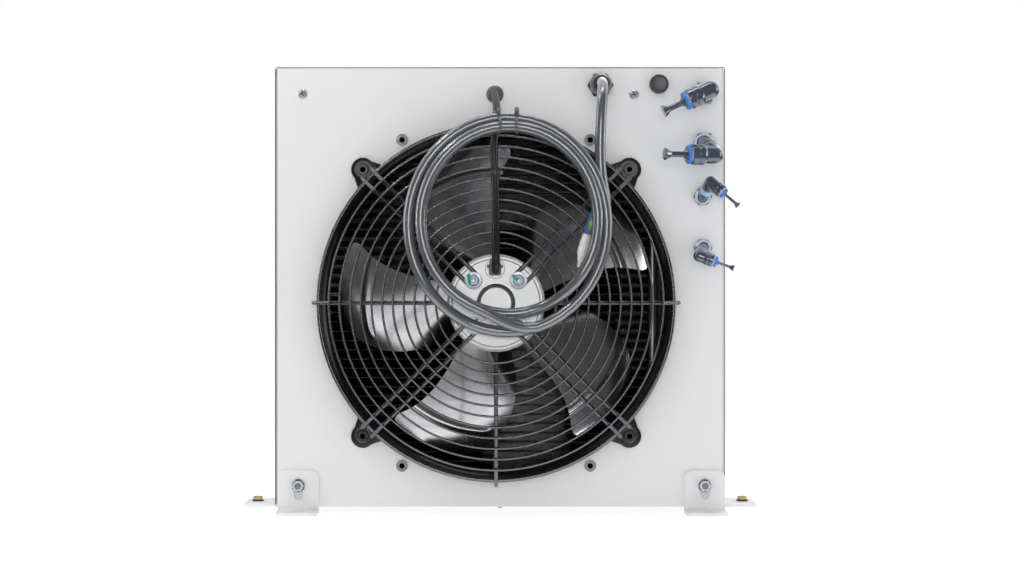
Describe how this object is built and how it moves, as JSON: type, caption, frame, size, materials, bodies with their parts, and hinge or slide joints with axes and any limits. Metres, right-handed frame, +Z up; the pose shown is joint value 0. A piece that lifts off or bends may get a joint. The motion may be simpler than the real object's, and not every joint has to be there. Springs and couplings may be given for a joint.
{
  "type": "rack-mount chiller",
  "caption": "White rack-mount water chiller seen from its fan side, with wire guard, coiled power cord, push-in water elbows and floor brackets.",
  "frame": {"origin": "centre of the footprint on the floor, measured without the power cord", "axes": "+Z up, +Y towards the rack ears and handles, -Y towards the fan, +X to the side of the ports"},
  "size_m": [0.5172, 0.7928, 0.436],
  "materials": {
    "powder_white": "white powder coat with fine orange peel",
    "galvanised": "galvanised sheet",
    "satin_steel": "satin stainless steel",
    "yellow_zinc": "yellow passivated zinc",
    "bright_zinc": "bright zinc plate",
    "black_paint": "semi-gloss black paint",
    "cast_aluminium": "fine cast aluminium",
    "blade_steel": "dark glossy steel blade",
    "cable_rubber": "glossy black cable sheath",
    "black_plastic": "black moulded plastic",
    "grey_plastic": "grey key",
    "blue_plastic": "blue moulded plastic",
    "core_colours": "coloured wire insulation",
    "white_tape": "white tape wrap",
    "bare_aluminium": "brazed aluminium",
    "tank_plastic": "natural polyethylene",
    "blue_paint": "blue enamel",
    "copper": "bright copper pipe",
    "filter_foam": "open black foam"
  },
  "bodies": {
    "cabinet": {"base_pan": "galvanised", "left_side_panel": "powder_white", "right_side_panel": "powder_white", "top_cover": "powder_white", "rear_panel": "powder_white", "front_panel": "powder_white", "rack_ears": "powder_white", "handles": "satin_steel", "rear_brackets": "powder_white", "side_brackets": "powder_white", "bracket_bolts": "yellow_zinc", "panel_screws": "bright_zinc", "rivet_nuts": "bright_zinc", "wall_ring": "black_paint", "ring_rivets": "black_paint", "guard": "black_paint", "motor": "cast_aluminium", "motor_bolts": "bright_zinc", "fan_cable": "cable_rubber", "cable_grommet": "cable_rubber", "cable_ties": "black_plastic", "cord_gland": "black_plastic", "cord_lead": "cable_rubber", "cord_coil": "cable_rubber", "cord_cores": "core_colours", "cord_tip": "white_tape", "alarm_socket": "bright_zinc", "bulkheads": "black_plastic", "fan_shroud": "galvanised", "condenser": "bare_aluminium", "compressor": "black_paint", "water_tank": "tank_plastic", "pump": "blue_paint", "evaporator": "satin_steel", "control_box": "galvanised", "refrigerant_pipes": "copper", "water_hoses": "cable_rubber", "controller": "black_plastic", "power_switch": "black_plastic", "dust_filter": "filter_foam"},
    "fan_rotor": {"rotor_can": "black_paint", "fan_blades": "blade_steel"},
    "alarm_cap": {"alarm_cap": "black_plastic"},
    "filler_cap": {"filler_cap": "black_plastic"},
    "up_key": {"up_key": "grey_plastic"},
    "down_key": {"down_key": "grey_plastic"},
    "switch_rocker": {"switch_rocker": "black_plastic"},
    "intake_door": {"intake_door": "powder_white"},
    "elbow_1": {"elbow_1": "black_plastic"},
    "collet_1": {"collet_1": "blue_plastic"},
    "plug_1": {"plug_1": "black_plastic"},
    "elbow_2": {"elbow_2": "black_plastic"},
    "collet_2": {"collet_2": "blue_plastic"},
    "plug_2": {"plug_2": "black_plastic"},
    "elbow_3": {"elbow_3": "black_plastic"},
    "collet_3": {"collet_3": "blue_plastic"},
    "plug_3": {"plug_3": "black_plastic"},
    "elbow_4": {"elbow_4": "black_plastic"},
    "collet_4": {"collet_4": "blue_plastic"},
    "plug_4": {"plug_4": "black_plastic"}
  },
  "joints": [
    {"name": "fan_spin", "type": "hinge", "parent": "cabinet", "child": "fan_rotor", "pos_m": [-0.0038, -0.30665, 0.2052], "axis": [0, -1, 0], "continuous": true},
    {"name": "elbow_1_swivel", "type": "hinge", "parent": "cabinet", "child": "elbow_1", "pos_m": [0.199, -0.31465, 0.41], "axis": [0.12, -0.9925, 0.0212], "range_deg": [-120, 15]},
    {"name": "collet_1_press", "type": "slide", "parent": "elbow_1", "child": "collet_1", "axis": [0.8963, 0.1175, 0.4275], "range_m": [0, 0.0015], "stiffness_N_per_m": 200},
    {"name": "plug_1_pull", "type": "slide", "parent": "elbow_1", "child": "plug_1", "axis": [-0.8963, -0.1175, -0.4275], "range_m": [0, 0.022]},
    {"name": "elbow_2_swivel", "type": "hinge", "parent": "cabinet", "child": "elbow_2", "pos_m": [0.1995, -0.31465, 0.36], "axis": [0.25, -0.866, -0.433], "range_deg": [-20, 20]},
    {"name": "collet_2_press", "type": "slide", "parent": "elbow_2", "child": "collet_2", "axis": [0.9608, 0.2774, 0], "range_m": [0, 0.0015], "stiffness_N_per_m": 200},
    {"name": "plug_2_pull", "type": "slide", "parent": "elbow_2", "child": "plug_2", "axis": [-0.9608, -0.2774, 0], "range_m": [0, 0.022]},
    {"name": "elbow_3_swivel", "type": "hinge", "parent": "cabinet", "child": "elbow_3", "pos_m": [0.198, -0.31265, 0.309], "axis": [0.2391, -0.809, 0.537], "range_deg": [-30, 40]},
    {"name": "collet_3_press", "type": "slide", "parent": "elbow_3", "child": "collet_3", "axis": [-0.7317, 0.2134, 0.6474], "range_m": [0, 0.0014], "stiffness_N_per_m": 200},
    {"name": "plug_3_pull", "type": "slide", "parent": "elbow_3", "child": "plug_3", "axis": [0.7317, -0.2134, -0.6474], "range_m": [0, 0.014]},
    {"name": "elbow_4_swivel", "type": "hinge", "parent": "cabinet", "child": "elbow_4", "pos_m": [0.1982, -0.31265, 0.259], "axis": [-0.2363, -0.9063, -0.3504], "range_deg": [-60, 40]},
    {"name": "collet_4_press", "type": "slide", "parent": "elbow_4", "child": "collet_4", "axis": [-0.9338, 0.1121, 0.3399], "range_m": [0, 0.0014], "stiffness_N_per_m": 200},
    {"name": "plug_4_pull", "type": "slide", "parent": "elbow_4", "child": "plug_4", "axis": [0.9338, -0.1121, -0.3399], "range_m": [0, 0.014]},
    {"name": "alarm_cap_turn", "type": "hinge", "parent": "cabinet", "child": "alarm_cap", "pos_m": [0.1548, -0.30665, 0.4183], "axis": [0, -1, 0], "range_deg": [0, 720]},
    {"name": "filler_cap_turn", "type": "hinge", "parent": "cabinet", "child": "filler_cap", "pos_m": [-0.15, 0.34335, 0.358], "axis": [0, 0.766, 0.6428], "range_deg": [0, 360]},
    {"name": "up_key_press", "type": "slide", "parent": "cabinet", "child": "up_key", "axis": [0, -1, 0], "range_m": [0, 0.001], "stiffness_N_per_m": 200},
    {"name": "down_key_press", "type": "slide", "parent": "cabinet", "child": "down_key", "axis": [0, -1, 0], "range_m": [0, 0.001], "stiffness_N_per_m": 200},
    {"name": "rocker_tip", "type": "hinge", "parent": "cabinet", "child": "switch_rocker", "pos_m": [-0.04, 0.34035, 0.378], "axis": [1, 0, 0], "range_deg": [0, 18]},
    {"name": "door_swing", "type": "hinge", "parent": "cabinet", "child": "intake_door", "pos_m": [-0.089, 0.34765, 0.186], "axis": [0, 0, 1], "range_deg": [0, 100]}
  ]
}
